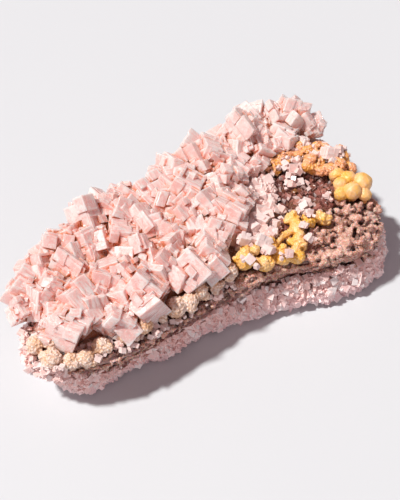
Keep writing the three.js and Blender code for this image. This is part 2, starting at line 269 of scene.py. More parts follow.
def edge_curve(shares):
    """Points of the slab's edge, a closed centripetal Catmull-Rom curve, at shares of the way round"""
    knots = np.array(SLAB_EDGE, float)
    count = len(knots)
    place = np.mod(shares, 1.0) * count
    first = np.floor(place).astype(int)
    w = (place - first)[:, None]
    p = [knots[(first + k) % count] for k in (-1, 0, 1, 2)]
    dt = [np.sqrt(np.linalg.norm(b - a, axis=1))[:, None] for a, b in zip(p, p[1:])]
    t1 = (p[1] - p[0]) / dt[0] - (p[2] - p[0]) / (dt[0] + dt[1]) + (p[2] - p[1]) / dt[1]
    t2 = (p[2] - p[1]) / dt[1] - (p[3] - p[1]) / (dt[1] + dt[2]) + (p[3] - p[2]) / dt[2]
    t1 = t1 * dt[1]
    t2 = t2 * dt[1]
    c2 = 3 * (p[2] - p[1]) - 2 * t1 - t2
    c3 = 2 * (p[1] - p[2]) + t1 + t2
    return p[1] + t1 * w + c2 * w ** 2 + c3 * w ** 3


def edge_points(shares, inset):
    """Points of the slab's edge, moved inwards by inset"""
    shares = np.asarray(shares, float)
    step = 1e-4
    along = edge_curve(shares + step) - edge_curve(shares - step)
    along /= np.linalg.norm(along, axis=1)[:, None]
    inwards = np.stack([-along[:, 1], along[:, 0]], axis=1)
    return edge_curve(shares) + inwards * np.broadcast_to(inset, shares.shape)[:, None]


def edge_point(share, inset):
    """One point of the slab's edge, moved inwards by inset"""
    return edge_points([share], inset)[0]


def undercut(shares, z):
    """How far inwards the druse underneath falls back at height z"""
    share, depth = zip(*FOOT_LEAN)
    return np.interp(np.mod(shares, 1.0), share, depth) * (1 - z / CRUST_TOP)


def wander(*columns):
    """Smooth noise, about -1 to 1, at points whose coordinates are given in columns"""
    return np.array([noise.noise(Vector(p)) for p in np.broadcast(*columns)])


def rough(points, size, octaves=3):
    """Fractal noise at each point, about -1 to 1, with features of a size in millimetres"""
    return np.array([noise.fractal(Vector(p) / size, 0.9, 2.1, octaves) for p in points])


# Meshes

def build_mesh(name, points, faces, shift=PLAN_SHIFT):
    """A mesh in metres from points in millimetres"""
    mesh = bpy.data.meshes.new(name)
    placed = (np.asarray(points, float) + np.array(shift)) * MM
    mesh.from_pydata(placed.tolist(), [], [tuple(f) for f in faces])
    mesh.update()
    return mesh


def loft_faces(levels, count):
    """Faces through level rings of count points each, closed at both ends"""
    faces = [tuple(reversed(range(count))), tuple(range((levels - 1) * count, levels * count))]
    for level in range(levels - 1):
        for k in range(count):
            a, b = level * count + k, level * count + (k + 1) % count
            faces.append((a, b, b + count, a + count))
    return faces


def ring_mesh(name, rings):
    """A closed mesh through level rings, each given by its points and its height"""
    points = [(x, y, z) for ring, z in rings for x, y in ring]
    return build_mesh(name, points, loft_faces(len(rings), len(rings[0][0])))


def add_object(name, mesh):
    obj = bpy.data.objects.new(name, mesh)
    bpy.context.scene.collection.objects.link(obj)
    return obj


def settle(obj):
    """Applies an object's modifiers to its mesh"""
    graph = bpy.context.evaluated_depsgraph_get()
    mesh = bpy.data.meshes.new_from_object(obj.evaluated_get(graph))
    obj.modifiers.clear()
    old = obj.data
    obj.data = mesh
    bpy.data.meshes.remove(old)


def finish_piece(obj, material, slot, *nodes):
    """Gives a piece its material and its body, and hides the imported parts of the nodes that it stands for
    """
    obj.data.materials.clear()
    obj.data.materials.append(material)
    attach(obj, "root")
    if nodes:
        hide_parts(*nodes)


def block_template(bevel):
    """Signs, inset flags and triangles of a box, with a narrow bevel along its edges or without"""
    bm = bmesh.new()
    bmesh.ops.create_cube(bm, size=2)
    if bevel:
        bmesh.ops.bevel(bm, geom=bm.edges[:], offset=0.1, segments=1, affect="EDGES")
    bmesh.ops.triangulate(bm, faces=bm.faces[:])
    corners = np.array([v.co for v in bm.verts])
    triangles = np.array([[v.index for v in f.verts] for f in bm.faces])
    bm.free()
    return np.sign(corners), np.abs(corners) < 0.999, triangles


TEMPLATES = {True: block_template(True), False: block_template(False)}


class Block:
    """A box in the plan: its centre, half sizes, turn, a tint for its faces, bevel and taper"""

    def __init__(self, centre, half, turn, tint, bevel=0.0, taper=0.0):
        self.centre = np.array(centre, float)
        self.half = np.array(half, float)
        self.turn = np.array(turn, float)
        self.tint = tint
        self.bevel = bevel
        self.taper = taper

    def points(self):
        signs, inset, _ = TEMPLATES[self.bevel > 0]
        corners = signs * (self.half - inset * self.bevel)
        corners[:, :2] *= 1 + self.taper * signs[:, 2:]
        return corners @ self.turn.T + self.centre

    def triangles(self):
        return TEMPLATES[self.bevel > 0][2]

    def reach(self):
        return np.abs(self.turn) @ (self.half * (1 + abs(self.taper)))


def turned(yaw, tilt, roll):
    """The turn of a crystal from angles in degrees, as a matrix"""
    return Euler((math.radians(tilt), math.radians(roll), math.radians(yaw)), "XYZ").to_matrix()


def any_turn(rng):
    return turned(rng.uniform(0, 90), rng.uniform(-50, 50), rng.uniform(-50, 50))


def skewed(rng, turn):
    """A turn with its axes a little out of square, as in a grown crystal"""
    lean = np.array([draws(rng, -SKEW, SKEW) for _ in range(3)])
    return np.array(turn) @ (np.eye(3) + lean)


def sorted_apart(blocks):
    """The blocks in groups, so that those in one group don't touch"""
    groups = []
    for block in blocks:
        reach = block.reach() + 0.02
        low = block.centre - reach
        high = block.centre + reach
        for group in groups:
            lows, highs = np.array(group["low"]), np.array(group["high"])
            if not np.any(np.all((lows < high) & (highs > low), axis=1)):
                break
        else:
            group = {"low": [], "high": [], "blocks": []}
            groups.append(group)
        group["low"].append(low)
        group["high"].append(high)
        group["blocks"].append(block)
    return [group["blocks"] for group in groups]


def group_mesh(name, blocks):
    """One mesh of separate blocks. Each face carries its block's tint, centre, half sizes and axes."""
    points, triangles, owners = [], [], []
    count = 0
    for k, block in enumerate(blocks):
        corners = block.points()
        points.append(corners)
        triangles.append(block.triangles() + count)
        owners += [k] * len(block.triangles())
        count += len(corners)
    mesh = build_mesh(name, np.concatenate(points), np.concatenate(triangles))
    tint = mesh.attributes.new("tint", "FLOAT", "FACE")
    tint.data.foreach_set("value", np.array([blocks[k].tint for k in owners], np.float32))
    vectors = {
        "axis_a": [block.turn[:, 0] for block in blocks],
        "axis_b": [block.turn[:, 1] for block in blocks],
        "middle": [(block.centre + np.array(PLAN_SHIFT)) * MM for block in blocks],
        "half_size": [block.half * MM for block in blocks],
    }
    for key, values in vectors.items():
        spread = np.array([values[k] for k in owners], np.float32)
        mesh.attributes.new(key, "FLOAT_VECTOR", "FACE").data.foreach_set("vector", spread.ravel())
    return mesh


def united(name, blocks, extra=(), cut_at_floor=False):
    """One closed mesh from blocks that grow through each other, and extra closed meshes"""
    operands = [add_object(name, group_mesh(name, group)) for group in sorted_apart(blocks)]
    operands += [add_object(name, mesh) for mesh in extra]
    base = operands.pop(0)
    for other in operands:
        join_by(base, other, "UNION")
    if cut_at_floor:
        above = Block((0, 0, ROOM_HALF), [ROOM_HALF] * 3, np.eye(3), 0)
        operands.append(add_object("room", group_mesh("room", [above])))
        join_by(base, operands[-1], "INTERSECT")
    settle(base)
    for other in operands:
        bpy.data.objects.remove(other)
    base.name = name
    return base


def join_by(base, other, operation):
    """Adds a Boolean modifier, which settle applies"""
    modifier = base.modifiers.new(operation, "BOOLEAN")
    modifier.operation = operation
    modifier.solver = "MANIFOLD"
    modifier.object = other


# Crystals

def crystal(rng, x, y, z, edge, turn, growths, stretch=1.0, bevel=0.4):
    """A cubic crystal with parallel growths that stand a little proud of its faces and corners"""
    half = np.array([edge, edge * stretch, edge]) / 2
    turn = skewed(rng, turn)
    centre = np.array([x, y, z], float)
    tint = rng.random()
    blocks = [Block(centre, half, turn, tint, bevel, rng.uniform(-0.12, 0.12))]
    for k in range(growths):
        sign = any_signs(rng)
        if k % 3 == 0:
            sign[2] = 1
        share = draws(rng, 0.35, 0.8)
        proud = draws(rng, -0.02, 0.14) * half
        spot = centre + turn @ (sign * (half * (1 - share) + proud))
        blocks.append(Block(spot, half * share, turn, tint + rng.uniform(-0.05, 0.05), bevel * 0.7))
    return blocks


def chip(rng, place, edge, turn, growths, low, high):
    """A small crystal with sharp edges, longer or shorter by a share between two limits"""
    return crystal(rng, *place, edge, turn, growths, rng.uniform(low, high), 0.0)


def parallel_growth(rng, x, y, z, edge, turn, stretch):
    """A leading crystal: a main block with steps, blocks and thin plates in parallel with it"""
    half = np.array([edge, edge * stretch, edge]) / 2
    turn = skewed(rng, turn)
    centre = np.array([x, y, z], float)
    tint = rng.random()
    blocks = [Block(centre, half * 0.9, turn, tint, 0.5, rng.uniform(-0.12, 0.05))]
    for k in range(6):
        sign = any_signs(rng)
        if k < 3:
            sign[2] = 1
        share = draws(rng, 0.32, 0.68)
        proud = draws(rng, -0.15, 0.28)
        spot = centre + turn @ (sign * half * (1 - share + proud))
        blocks.append(Block(spot, half * share, turn, tint + rng.uniform(-0.1, 0.1), 0.4))
    for k in range(9):
        axis = (2, 0, 1)[k % 3]
        side = 1 if axis == 2 else rng.choice((-1, 1))
        share = draws(rng, 0.3, 0.85)
        share[axis] = 0.3
        offset = half * (1 - share) * any_signs(rng)
        offset[axis] = side * (half[axis] * 0.6 + rng.uniform(0.15, 0.8))
        spot = centre + turn @ offset
        blocks.append(Block(spot, half * share, turn, tint + rng.uniform(-0.08, 0.08), 0.2))
    if rng.random() < 0.3:
        blocks += raised_rim(rng, centre, half, turn, tint)
    return blocks


def raised_rim(rng, centre, half, turn, tint):
    """Bars along the edges of a crystal's upper face, where it grew ahead of the middle"""
    bar = rng.uniform(0.07, 0.13) * half[0]
    top = half[2] * 0.95 + bar * 0.3
    found = []
    for across, along in ((0, 1), (1, 0)):
        for side in (-1, 1):
            offset = np.zeros(3)
            offset[across] = side * (half[across] * 0.95 - bar)
            offset[2] = top
            size = np.array([bar, bar, bar])
            size[along] = half[along] * 0.95
            found.append(Block(centre + turn @ offset, size, turn, tint, 0.1))
    return found


def beside(rng, x, y, z, edge, turn, count):
    """Crystals that grow out of a larger one's sides, turned a little against it"""
    blocks = []
    for _ in range(count):
        spin = rng.uniform(0, math.tau)
        reach = edge * rng.uniform(0.42, 0.6)
        place = (x + reach * math.cos(spin), y + reach * math.sin(spin), z + edge * rng.uniform(-0.3, 0.22))
        own = turn @ turned(rng.uniform(-30, 30), rng.uniform(-35, 35), rng.uniform(-35, 35))
        blocks += crystal(rng, *place, edge * rng.uniform(0.5, 0.78), own, 3, rng.uniform(0.8, 1.2))
    return blocks


def perched(rng, x, y, z, edge, turn, count):
    """Smaller crystals that sit on the faces of a larger one"""
    blocks = []
    for _ in range(count):
        place = Vector((x, y, z)) + upward(rng, -0.1) * edge * rng.uniform(0.48, 0.6)
        own = turn if rng.random() < 0.6 else any_turn(rng)
        blocks += chip(rng, place, edge * rng.uniform(0.14, 0.32), own, 0, 0.7, 1.4)
    return blocks


def fill_crystals():
    """The medium crystals between the leading ones"""
    found = []
    n = 0
    for y in range(-40, 50, FILL_PITCH):
        for x in range(-118, 114, FILL_PITCH):
            n += 1
            cx = x + FILL_PITCH * (scatter(n) - 0.5) + (n % 2) * 3
            cy = y + FILL_PITCH * (scatter(n + 500) - 0.5)
            near = any(math.hypot(c[0] - cx, c[1] - cy) < 0.42 * c[3] for c in LEADING_CRYSTALS)
            if near or not is_inside(PINK_EDGE, cx, cy):
                continue
            edge = FILL_EDGE * (0.75 + 0.6 * scatter(n + 900))
            turn = (90 * scatter(n + 21), 50 * scatter(n + 33), 50 * scatter(n + 47))
            found.append((cx, cy, crust_top(cx, cy) + 7 + 3 * scatter(n + 61), edge, *turn))
    return found


def bed_mesh(name, outline, foot, height):
    """A level bed with a bevelled edge, from its upper rim"""
    bevel = height * 0.6
    corners = np.array(outline, float)
    along = np.roll(corners, -1, axis=0) - np.roll(corners, 1, axis=0)
    along /= np.linalg.norm(along, axis=1)[:, None]
    wide = corners + np.stack([along[:, 1], -along[:, 0]], axis=1) * bevel * 0.8
    top = foot + height
    mesh = ring_mesh(name, [(corners, foot - 1), (wide, foot + 1), (wide, top - bevel), (corners, top)])
    bm = bmesh.new()
    bm.from_mesh(mesh)
    bmesh.ops.triangulate(bm, faces=bm.faces[:])
    bm.to_mesh(mesh)
    bm.free()
    return mesh


def grown_between(rng, pitch, edges, heights, growths, perches):
    """Crystals on a jittered grid over the pink bed"""
    left, front, length, width = GROWTH_AREA
    blocks = []
    for row in range(int(width / pitch)):
        for column in range(int(length / pitch)):
            x = left + pitch * (column + 0.5 + rng.uniform(-0.4, 0.4))
            y = front + pitch * (row + 0.5 + rng.uniform(-0.4, 0.4))
            edge = rng.uniform(*edges)
            z = crust_top(x, y) + rng.uniform(*heights)
            turn = any_turn(rng)
            if is_inside(PINK_EDGE, x * 0.985, y * 0.97):
                blocks += crystal(rng, x, y, z, edge, turn, growths, rng.uniform(0.8, 1.3), 0.25)
                blocks += perched(rng, x, y, z, edge, turn, perches)
    return blocks


def pink_growth():
    """The pink crystals and the bed of massive halite that carries them"""
    rng = random.Random(11)
    blocks = []
    for x, y, z, edge, *angles in LEADING_CRYSTALS:
        turn = turned(*angles)
        stretch = 0.85 + 0.3 * scatter(x * 3 + y)
        edge *= LEADER_SCALE
        blocks += parallel_growth(rng, x, y, z, edge, turn, stretch)
        blocks += beside(rng, x, y, z, edge, turn, 0 if x < -95 else 4)
        blocks += perched(rng, x, y, z, edge, turn, 14)
    for x, y, z, edge, *angles in fill_crystals():
        turn = turned(*angles)
        blocks += crystal(rng, x, y, z, edge, turn, 4)
        blocks += perched(rng, x, y, z, edge, turn, 3)
    blocks += grown_between(rng, *MEDIUM_GROWTH, 3, 2)
    blocks += grown_between(rng, *SMALL_GROWTH, 1, 0)
    bed = bed_mesh("pink_bed", PINK_EDGE, PINK_FOOT, PINK_BED)
    return united("pink_growth", blocks, [bed])


def pink_crumbs():
    """Small crystals between the lumps, over the left end and along the back rim"""
    rng = random.Random(13)
    blocks = []
    for k in range(PINK_CRUMBS):
        share = (rng.uniform(0.06, 0.24), rng.uniform(-0.11, 0.06), rng.uniform(0.58, 0.9))[k % 3]
        x, y = edge_point(share, rng.uniform(-3 if k % 3 == 1 else 0, 13))
        z = crust_top(x, y) + rng.uniform(-0.5, 2.2)
        edge = rng.uniform(1.8, 4.6) if k % 3 == 2 else rng.uniform(1.1, 3.1)
        blocks += chip(rng, (x, y, z), edge, any_turn(rng), 1, 0.8, 1.3)
    return united("pink_crumbs", blocks)


# Crust

def side_profile(share):
    """How far inside the edge the slab's side lies at a share of its thickness"""
    rise, inset = zip(*SIDE)
    return np.interp(share, rise, inset)


def lamina(share, around):
    """Thin wavy layers that stand out and fall back along the side, with a lip on each"""
    wave = wander(around * 14, 3.1, 0.2)
    curl = wander(around * 60, 8.4, share * 9)
    level = (share + 0.05 * wave + 0.022 * curl) * LAYERS
    whole = np.floor(level).astype(int)
    within = level - whole
    step = wander(whole * 7.3, around * 24, 0.5)
    reach = wander(whole * 3.1, around * 70, 9.5)
    lip = np.exp(-((within - 0.7) / 0.25) ** 2) - 1.6 * np.exp(-((within - 0.03) / 0.13) ** 2)
    return 3.4 * step + 1.8 * reach + (0.8 + 0.8 * reach) * lip


def right_end(x, y):
    """1 over the porous right end, 0 elsewhere"""
    return 1 / (1 + np.exp(-(x - 74 - 0.25 * (y + 40)) / 5))


def crust():
    """The bedded slab: a loft with thin layers, cracks and a rough surface, worn round at its rim"""
    around = np.arange(CRUST_AROUND) / CRUST_AROUND
    rings = []
    for share in np.linspace(1, 0.06, 6)[::-1]:
        x, y = (edge_points(around, CRUST_CAP_INSET + 9) * share).T
        rings.append((x, y, np.full_like(x, CRUST_BASE)))
    for share in np.linspace(0, 1, CRUST_LEVELS):
        worn = 3.2 * np.clip((share - 0.86) / 0.14, 0, 1) ** 2
        inset = side_profile(share) + worn - lamina(np.full_like(around, share), around)
        x, y = edge_points(around, inset).T
        rings.append((x, y, CRUST_BASE + share * (crust_top(x, y) - 1.2 - CRUST_BASE)))
    for share in np.linspace(1, 0.04, CRUST_CAP_RINGS) ** 0.8:
        x, y = (edge_points(around, CRUST_CAP_INSET + 4) * share).T
        rings.append((x, y, crust_top(x, y) + 0.2 - 1.2 * max(0, share - 0.9) * 10))
    points = np.concatenate([np.stack(ring, axis=1) for ring in rings])
    end = right_end(points[:, 0], points[:, 1])
    grain = rough(points, 5.0) * (0.9 + 1.6 * end) + rough(points + 40, 2.1, 2) * (1.0 + 0.4 * end)
    radial = points[:, :2] / np.linalg.norm(points[:, :2], axis=1)[:, None]
    points[:, :2] += radial * grain[:, None]
    pits = np.clip(rough(points + 80, 6.5, 2) - 0.02, 0, 0.6) * (points[:, 2] > 24)
    points[:, 2] += 0.5 * grain - 6 * end * pits
    points[:, 2] = np.maximum(points[:, 2], CRUST_BASE - 0.8)
    mesh = build_mesh("bedded_crust", points, loft_faces(len(rings), CRUST_AROUND))
    mesh.shade_smooth()
    return add_object("bedded_crust", mesh)


# Rounded growths

def ball_template(subdivisions):
    """Points and triangles of a ball of radius 1"""
    bm = bmesh.new()
    bmesh.ops.create_icosphere(bm, subdivisions=subdivisions, radius=1)
    points = np.array([v.co for v in bm.verts])
    faces = np.array([[v.index for v in f.verts] for f in bm.faces])
    bm.free()
    return points, faces


BALL = ball_template(2)


def point_values(mesh, key):
    """A vector of each point of a mesh, in rows"""
    values = np.empty(len(mesh.vertices) * 3)
    mesh.vertices.foreach_get(key, values)
    return values.reshape(-1, 3)


def mark_grains(mesh, grain):
    """Gives each point its distance from the middle of its grain; returns the points and that"""
    place = point_values(mesh, "co")
    nearest = np.array([noise.voronoi(Vector(p) / grain)[0][0] for p in place / MM])
    mesh.attributes.new("grain", "FLOAT", "POINT").data.foreach_set("value", nearest)
    return place, nearest


def push_out(mesh, place, depth):
    """Moves each point along its normal by its depth in millimetres, and shades the mesh smooth"""
    place += point_values(mesh, "normal") * depth[:, None] * MM
    mesh.vertices.foreach_set("co", place.ravel())
    mesh.shade_smooth()
    mesh.update()


def rounded(name, balls, voxel, coarse, sugar, grain):
    """One closed skin round many balls. Coarse and sugar are the depths of its swells and grains."""
    template, triangles = BALL
    points = np.concatenate([template * (r, r, r * 0.95) + (x, y, z) for x, y, z, r in balls])
    faces = np.concatenate([triangles + k * len(template) for k in range(len(balls))])
    obj = add_object(name, build_mesh(name, points, faces))
    remesh = obj.modifiers.new("skin", "REMESH")
    remesh.mode = "VOXEL"
    remesh.voxel_size = voxel * MM
    settle(obj)
    place, nearest = mark_grains(obj.data, grain)
    push_out(obj.data, place, coarse * rough(place / MM, 3.2, 2) + sugar * (1 - 2.2 * nearest))
    return obj


def on_ball(rng, x, y, z, radius, size, count, low=-0.35):
    """Smaller balls over the surface of a ball"""
    found = []
    for k in range(count):
        height = low + (1 - low) * (k + rng.random()) / count
        spin = k * GOLDEN_ANGLE + rng.uniform(-0.3, 0.3)
        across = math.sqrt(max(0, 1 - height * height))
        away = np.array([across * math.cos(spin), across * math.sin(spin), height])
        own = size * radius * rng.uniform(0.65, 1.25)
        reach = radius * rng.uniform(0.72, 0.92)
        found.append((*(away * reach + (x, y, z)), own))
    return found


def cream_lumps(name, table, seed):
    """A row of separate sugary lumps, each with a nodule or two on it"""
    rng = random.Random(seed)
    balls = []
    for x, y, z, radius in table:
        main = radius * 0.78
        balls += [(x, y, z + 0.3, main), (x, y, z - 3.5, main * 0.8)]
        balls += on_ball(rng, x, y, z + 0.3, main, 0.13, 46, -0.3)
        for _ in range(2):
            spin = rng.uniform(0, math.tau)
            reach = radius * 0.6
            height = z + radius * rng.uniform(-0.4, 0.25)
            spot = (x + reach * math.cos(spin), y + reach * math.sin(spin), height)
            balls.append((*spot, radius * 0.42))
            balls += on_ball(rng, *spot, radius * 0.42, 0.22, 16, -0.3)
    return rounded(name, balls, *CREAM_SKIN)


def branch(start, end, thick):
    """A wandering row of balls from one point to another"""
    found = []
    for k in range(BRANCH_STEPS + 1):
        t = k / BRANCH_STEPS
        x, y, z = np.array(start) * (1 - t) + np.array(end) * t
        wave = thick * 0.3 * math.sin(t * 5 + start[0])
        arch = math.sin(t * math.pi)
        found.append((x + wave, y - wave, z + thick * 0.4 * arch, thick * (1 - 0.25 * arch)))
    return found


def ridge_lumps():
    """The yellow lumps right of the middle and the coral-like ridge that branches from them"""
    rng = random.Random(5)
    balls = []
    for x, y, z, radius in LUMPS_MIDDLE[:7]:
        balls.append((x, y, z, radius * 0.82))
        balls += on_ball(rng, x, y, z, radius * 0.86, 0.5, 4)
        balls += on_ball(rng, x, y, z, radius * 0.86, 0.16, 22)
    coral = [lump[:3] for lump in LUMPS_MIDDLE[6:]]
    for a, b in ((0, 1), (1, 2), (1, 3), (3, 4)):
        balls += branch(coral[a], coral[b], 3.6)
    balls += branch(LUMPS_MIDDLE[4][:3], coral[1], 3.0)
    for x, y, z in coral:
        balls.append((x, y, z, 4.4))
        balls += on_ball(rng, x, y, z, 4.6, 0.4, 9, -0.6)
    return rounded("golden_ridge", balls, *RIDGE_SKIN)


def back_lumps():
    """The orange and yellow lumps round the right end of the hollow"""
    rng = random.Random(9)
    balls = []
    for x, y, z, radius in LUMPS_BACK[:7]:
        balls.append((x, y, z - 0.5, radius * 0.74))
        balls += on_ball(rng, x, y, z, radius * 0.9, 0.48, 7)
        balls += on_ball(rng, x, y, z, radius, 0.2, 34, -0.2)
    balls += [(x, y, z - 2, radius * 0.7) for x, y, z, radius in LUMPS_BACK[7:]]
    balls += [(x, y, z - 4, radius * 0.8) for x, y, z, radius in SMOOTH_BALLS]
    return rounded("golden_lumps", balls, *BACK_SKIN)


def smooth_balls():
    """The close group of smooth yellow balls at the right end, with sharp creases between them"""
    template, triangles = ball_template(4)
    base = None
    for k, (x, y, z, radius) in enumerate(SMOOTH_BALLS):
        swell = 1 + 0.1 * rough(template * 2 + k * 9, 1.4, 2)
        points = template * swell[:, None] * (radius, radius, radius * 0.92) + (x, y, z)
        ball = add_object("smooth_balls", build_mesh("smooth_balls", points, triangles))
        if base is None:
            base = ball
            continue
        join_by(base, ball, "UNION")
        settle(base)
        bpy.data.objects.remove(ball)
    place, nearest = mark_grains(base.data, 1.2)
    push_out(base.data, place, 0.12 - 0.3 * nearest)
    return base


def rough_blocks():
    """Places and edges of the rough blocks round the right end"""
    found = []
    for k in range(ROUGH_BLOCKS):
        share = 0.34 + 0.22 * (k + scatter(k + 401)) / ROUGH_BLOCKS
        level = (k * 0.618) % 1
        x, y = edge_point(share, 4 + 22 * scatter(k + 460) * level)
        z = 20 + level * (crust_top(x, y) - 19)
        found.append((x, y, z, ROUGH_EDGE * (0.75 + 0.5 * scatter(k + 490))))
    return found


def stalk(rng, x, y, z, away, length, thick):
    """A knobbly stalk of granules from a point along a direction"""
    found = []
    steps = max(2, int(length / (thick * 0.8)))
    for k in range(steps + 1):
        radius = thick * rng.uniform(0.7, 1.15)
        spot = np.array([x, y, z]) + away * (length * k / steps) + draws(rng, -0.5, 0.5) * thick
        found.append((*spot, radius))
        for _ in range(4):
            knob = any_way(rng)
            knob *= radius * 0.9 / np.linalg.norm(knob)
            found.append((*(spot + knob), radius * rng.uniform(0.3, 0.55)))
    return found


def popcorn():
    """Porous crust of the right end, with knobbly stalks on its top and side"""
    rng = random.Random(21)
    balls = []
    for x, y, z, edge in rough_blocks():
        balls.append((x, y, z, edge * 0.44))
        for _ in range(BLOCK_STALKS):
            away = any_way(rng)
            away /= np.linalg.norm(away)
            start = np.array([x, y, z]) + away * edge * 0.36
            balls += stalk(rng, *start, away, edge * 0.3, rng.uniform(0.9, 1.8))
    for _ in range(SIDE_STALKS):
        share = rng.uniform(0.35, 0.57)
        x, y = edge_point(share, rng.uniform(0.5, 4))
        level = rng.random() ** 0.8
        away = np.array([*(edge_point(share, -1) - edge_point(share, 0)), rng.uniform(-0.3, 0.8)])
        away /= np.linalg.norm(away)
        z = 14 + level * (crust_top(x, y) - 14)
        balls += stalk(rng, x, y, z, away, 2.4, rng.uniform(0.8, 1.6))
    for _ in range(TOP_STALKS):
        x = rng.uniform(56, 117)
        y = rng.uniform(-60, 24)
        outside = math.hypot((x - HOLLOW_X) / 30, (y - HOLLOW_Y) / 19) > 1 and (x > 96 or y < -18)
        if is_inside(SLAB_EDGE, x * 1.02, y * 1.02) and outside:
            away = np.array([rng.uniform(-0.5, 0.5), rng.uniform(-0.5, 0.5), 1.0])
            away /= np.linalg.norm(away)
            length = rng.uniform(1.0, 6.5) * rng.random() + 1
            balls += stalk(rng, x, y, crust_top(x, y), away, length, rng.uniform(1.0, 2.0))
    return rounded("crust_granules", balls, *GRANULE_SKIN)


def rim_crumbs():
    """Crumbs of crust along the slab's rim and front side"""
    rng = random.Random(23)
    balls = []
    for _ in range(RIM_CRUMBS):
        x, y = edge_point(rng.uniform(-0.04, 0.42), rng.uniform(1.5, 9))
        balls.append((x, y, crust_top(x, y) - 1 + rng.uniform(-0.6, 1.2), rng.uniform(0.6, 1.5)))
    for k in range(SIDE_CRUMBS):
        share = 0.25 + 0.2 * math.sqrt(rng.random()) if k % 4 else rng.uniform(0.04, 0.27)
        z = rng.uniform(18, 32)
        inset = side_profile((z - CRUST_BASE) / (CRUST_TOP - CRUST_BASE)) - 0.6
        x, y = edge_point(share, inset + rng.uniform(-0.8, 0.8))
        balls.append((x, y, z, rng.uniform(0.7, 1.5)))
    return rounded("rim_crumbs", balls, *CRUMB_SKIN)


# Small druses

def mauve_growth():
    """Small glassy crystals over the hollow and the bare slab round it"""
    rng = random.Random(31)
    half_length, half_width = MAUVE_HALF
    blocks = []
    for k in range(MAUVE_CRYSTALS):
        reach = math.sqrt((k + 0.5) / MAUVE_CRYSTALS) * 1.22
        spin = k * GOLDEN_ANGLE
        x = HOLLOW_X + half_length * reach * math.cos(spin) + rng.uniform(-1, 1)
        y = HOLLOW_Y + half_width * reach * math.sin(spin) + rng.uniform(-1, 1)
        z = crust_top(x, y) + rng.uniform(0, 2.6) + 3.2 * noise.noise(Vector((x / 8, y / 8, 0)))
        edge = rng.uniform(1.6, 3.8)
        turn = any_turn(rng) if k % 3 == 0 else corner_turn(rng, (0, 0, 1))
        blocks += chip(rng, (x, y, z), edge, turn, 1, 0.8, 1.4)
    rim = []
    for k in range(32):
        turn = k / 32 * math.tau
        rim.append((HOLLOW_X + half_length * math.cos(turn), HOLLOW_Y + half_width * math.sin(turn)))
    return united("mauve_growth", blocks, [bed_mesh("mauve_bed", rim, CRUST_TOP - 9, 4.5)])


def clear_cubes():
    """Pale clear cubes in small clusters on the hollow, and a carpet of them beside the pink mass"""
    rng = random.Random(41)
    blocks = []
    for x, y, z, edge in CLEAR_CUBES:
        turn = any_turn(rng)
        blocks += crystal(rng, x, y, z, edge * 0.95, turn, 5, rng.uniform(0.8, 1.2), 0.2)
        for _ in range(6):
            shift = np.array([rng.gauss(0, 0.5), rng.gauss(0, 0.5), rng.uniform(-0.35, 0.2)])
            near = shift * edge + (x, y, z)
            blocks += chip(rng, near, edge * rng.uniform(0.3, 0.6), any_turn(rng), 1, 0.8, 1.3)
    for x, y, z, radius in LUMPS_BACK[:5]:
        for _ in range(7):
            spot = Vector((x, y, z)) + upward(rng, 0.1) * radius * 0.92
            blocks += chip(rng, spot, rng.uniform(1.4, 3.2), any_turn(rng), 0, 0.8, 1.4)
    for _ in range(CARPET_CUBES):
        along = rng.random()
        x = 17 + 40 * along + rng.uniform(-8, 8)
        y = -24 + 40 * along + rng.uniform(-7, 7)
        edge = rng.uniform(2.4, 5.6)
        z = crust_top(x, y) + rng.uniform(2.5, 7.5)
        blocks += chip(rng, (x, y, z), edge, any_turn(rng), 1, 0.8, 1.3)
    return united("clear_cubes", blocks)


def fringe():
    """The larger crystals round the underside"""
    found = []
    for k in range(FRINGE_CRYSTALS):
        share = (k + 0.6 * scatter(k + 601)) / FRINGE_CRYSTALS
        z = 6 + 2.5 * scatter(k + 670)
        x, y = edge_point(share, 1 + undercut(share, z))
        edge = FRINGE_EDGE * (0.85 + 0.4 * scatter(k + 640))
        found.append((x, y, z, edge, 90 * scatter(k + 700), 42, 38 * scatter(k + 730)))
    return found


def corner_turn(rng, direction):
    """A turn that points a block's corner roughly along a direction"""
    aim = Vector(direction) + Vector(draws(rng, -0.4, 0.4))
    aim.normalize()
    corner = Vector((1, 1, 1)).normalized().rotation_difference(aim)
    return (Quaternion(aim, rng.uniform(0, math.tau)) @ corner).to_matrix()


def outwards(share):
    """The direction out of the slab's side at a share of the way round"""
    out = edge_point(share, -1) - edge_point(share, 0)
    return out / np.linalg.norm(out)


def swelling(share):
    """1 along the front right, where the druse underneath is thickest, 0 elsewhere"""
    return math.exp(-(((share % 1) - 0.37) / 0.09) ** 2)


def pale_teeth(rng, count, lowest, highest):
    """Pointed crystals, corners out, between two shares of the height of the druse on the side"""
    blocks = []
    heights, insets = zip(*TEETH_INSET)
    for _ in range(count):
        share = rng.random()
        level = rng.uniform(lowest, highest)
        clump = noise.noise(Vector((share * 60, level * 2.5, 4.2)))
        from_end = (share + 0.49) % 1 - 0.5
        top = 20.5 + 3 * clump + 13 * math.exp(-((from_end / 0.075) ** 4))
        z = 0.8 + top * level
        inset = np.interp(z, heights, insets) + undercut(share, z)
        inset -= (1.8 + 1.4 * swelling(share)) * clump
        inset -= 9 * math.exp(-((from_end / 0.06) ** 2) - ((z - 24) / 9) ** 2)
        x, y = edge_point(share, inset + rng.uniform(-1.0, 0.8))
        edge = rng.uniform(1.7, 3.7) * (1.15 - 0.3 * level) * (1 + 0.35 * swelling(share))
        away = (*outwards(share), 0.15 - 0.75 * (1 - level))
        if rng.random() < 0.45:
            blocks += chip(rng, (x, y, z), edge, corner_turn(rng, away), 0, 0.9, 1.5)
        else:
            blocks.append(spike(rng, x, y, z, edge, away))
    return blocks


